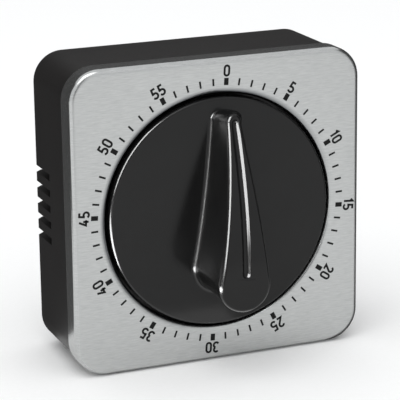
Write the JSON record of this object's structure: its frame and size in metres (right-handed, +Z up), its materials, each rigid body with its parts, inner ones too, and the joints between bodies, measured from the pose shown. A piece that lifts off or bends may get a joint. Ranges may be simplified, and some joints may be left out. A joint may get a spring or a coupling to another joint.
{
  "type": "kitchen timer",
  "caption": "Square mechanical kitchen timer: brushed steel dial plate on a black moulded case, round winding knob with a ramped pointer grip, clockwork movement and bell inside.",
  "frame": {"origin": "middle of the flat foot under the case, on the surface that the timer stands on", "axes": "+Z up, -Y out of the dial face, +X to the right as seen from the front; metres in the row"},
  "size_m": [0.075, 0.0483, 0.0757],
  "materials": {
    "moulded_case": "moulded, fine satin grain",
    "brushed_plate": "brushed stainless steel",
    "knob_plastic": "moulded, semi-gloss",
    "zinc_screws": "zinc-plated steel",
    "ferrite": "sintered ferrite magnet",
    "movement_steel": "rolled steel strip",
    "cut_steel": "turned and polished steel",
    "gear_brass": "stamped and cut brass",
    "spring_steel": "blued spring steel",
    "bell_steel": "nickel-plated steel"
  },
  "bodies": {
    "housing": {"case": "moulded_case", "face_plate": "brushed_plate", "back_cover": "moulded_case", "cover_screws": "zinc_screws", "magnets": "ferrite", "front_movement_plate": "movement_steel", "rear_movement_plate": "movement_steel", "movement_pillars": "cut_steel", "pillar_nuts": "zinc_screws", "movement_screws": "zinc_screws", "bell": "bell_steel", "bell_post": "cut_steel", "bell_screw": "zinc_screws", "mainspring": "spring_steel", "spring_post": "cut_steel", "hairspring": "spring_steel", "hairspring_stud": "gear_brass"},
    "knob_group": {"knob": "knob_plastic", "knob_clip": "cut_steel", "main_arbor": "cut_steel", "strike_cam": "cut_steel", "main_wheel": "gear_brass", "ratchet_wheel": "cut_steel", "click": "cut_steel"},
    "second_group": {"second_wheel": "gear_brass", "second_pinion": "cut_steel"},
    "third_group": {"third_wheel": "gear_brass", "third_pinion": "cut_steel"},
    "escape_group": {"escape_wheel": "gear_brass", "escape_pinion": "cut_steel"},
    "alarm_group": {"star_wheel": "cut_steel", "alarm_pinion": "cut_steel"},
    "lever_group": {"pallet_lever": "gear_brass", "pallet_pins": "cut_steel", "pallet_arbor": "cut_steel"},
    "balance_group": {"balance_wheel": "gear_brass", "balance_staff": "cut_steel", "impulse_roller": "cut_steel"},
    "hammer_group": {"hammer_arm": "movement_steel", "hammer_head": "gear_brass", "hammer_arbor": "cut_steel", "strike_verge": "cut_steel"},
    "release_group": {"release_lever": "movement_steel", "release_arm": "movement_steel", "release_arbor": "cut_steel"}
  },
  "joints": [
    {"name": "knob_turn", "type": "hinge", "parent": "housing", "child": "knob_group", "pos_m": [0, -0.0066, 0.03795], "axis": [0, 1, 0], "range_deg": [0, 354]},
    {"name": "second_spin", "type": "hinge", "parent": "housing", "child": "second_group", "pos_m": [-0.00962, -0.0066, 0.04757], "axis": [0, 1, 0], "range_deg": [-2656, 0.5]},
    {"name": "third_spin", "type": "hinge", "parent": "housing", "child": "third_group", "pos_m": [0.0006, -0.0066, 0.05108], "axis": [0, 1, 0], "range_deg": [-1, 21245]},
    {"name": "escape_spin", "type": "hinge", "parent": "housing", "child": "escape_group", "pos_m": [0.0114, -0.0066, 0.05108], "axis": [0, 1, 0], "range_deg": [-169940, 10]},
    {"name": "alarm_spin", "type": "hinge", "parent": "housing", "child": "alarm_group", "pos_m": [-0.0068, -0.0066, 0.02617], "axis": [0, 1, 0], "range_deg": [-2656, 0.5]},
    {"name": "balance_swing", "type": "hinge", "parent": "housing", "child": "balance_group", "pos_m": [0.0182, -0.0066, 0.03896], "axis": [0, 1, 0], "range_deg": [-27, 27], "stiffness_Nm_per_rad": 0.000012},
    {"name": "lever_rock", "type": "hinge", "parent": "housing", "child": "lever_group", "pos_m": [0.01394, -0.0066, 0.04655], "axis": [0, 1, 0], "range_deg": [-9.2, 9.2]},
    {"name": "hammer_swing", "type": "hinge", "parent": "housing", "child": "hammer_group", "pos_m": [-0.0008, -0.0066, 0.02015], "axis": [0, 1, 0], "range_deg": [0, 8], "stiffness_Nm_per_rad": 0.002, "springref_deg": -17.19},
    {"name": "release_drop", "type": "hinge", "parent": "housing", "child": "release_group", "pos_m": [-0.0155, -0.0066, 0.02995], "axis": [0, 1, 0], "range_deg": [0, 3.5]}
  ],
  "couplings": [
    {"joint": "second_spin", "follows": "knob_turn", "ratio": -7.5},
    {"joint": "third_spin", "follows": "knob_turn", "ratio": 60},
    {"joint": "escape_spin", "follows": "knob_turn", "ratio": -480},
    {"joint": "alarm_spin", "follows": "knob_turn", "ratio": -7.5},
    {"joint": "lever_rock", "follows": "balance_swing", "ratio": -0.33333}
  ]
}
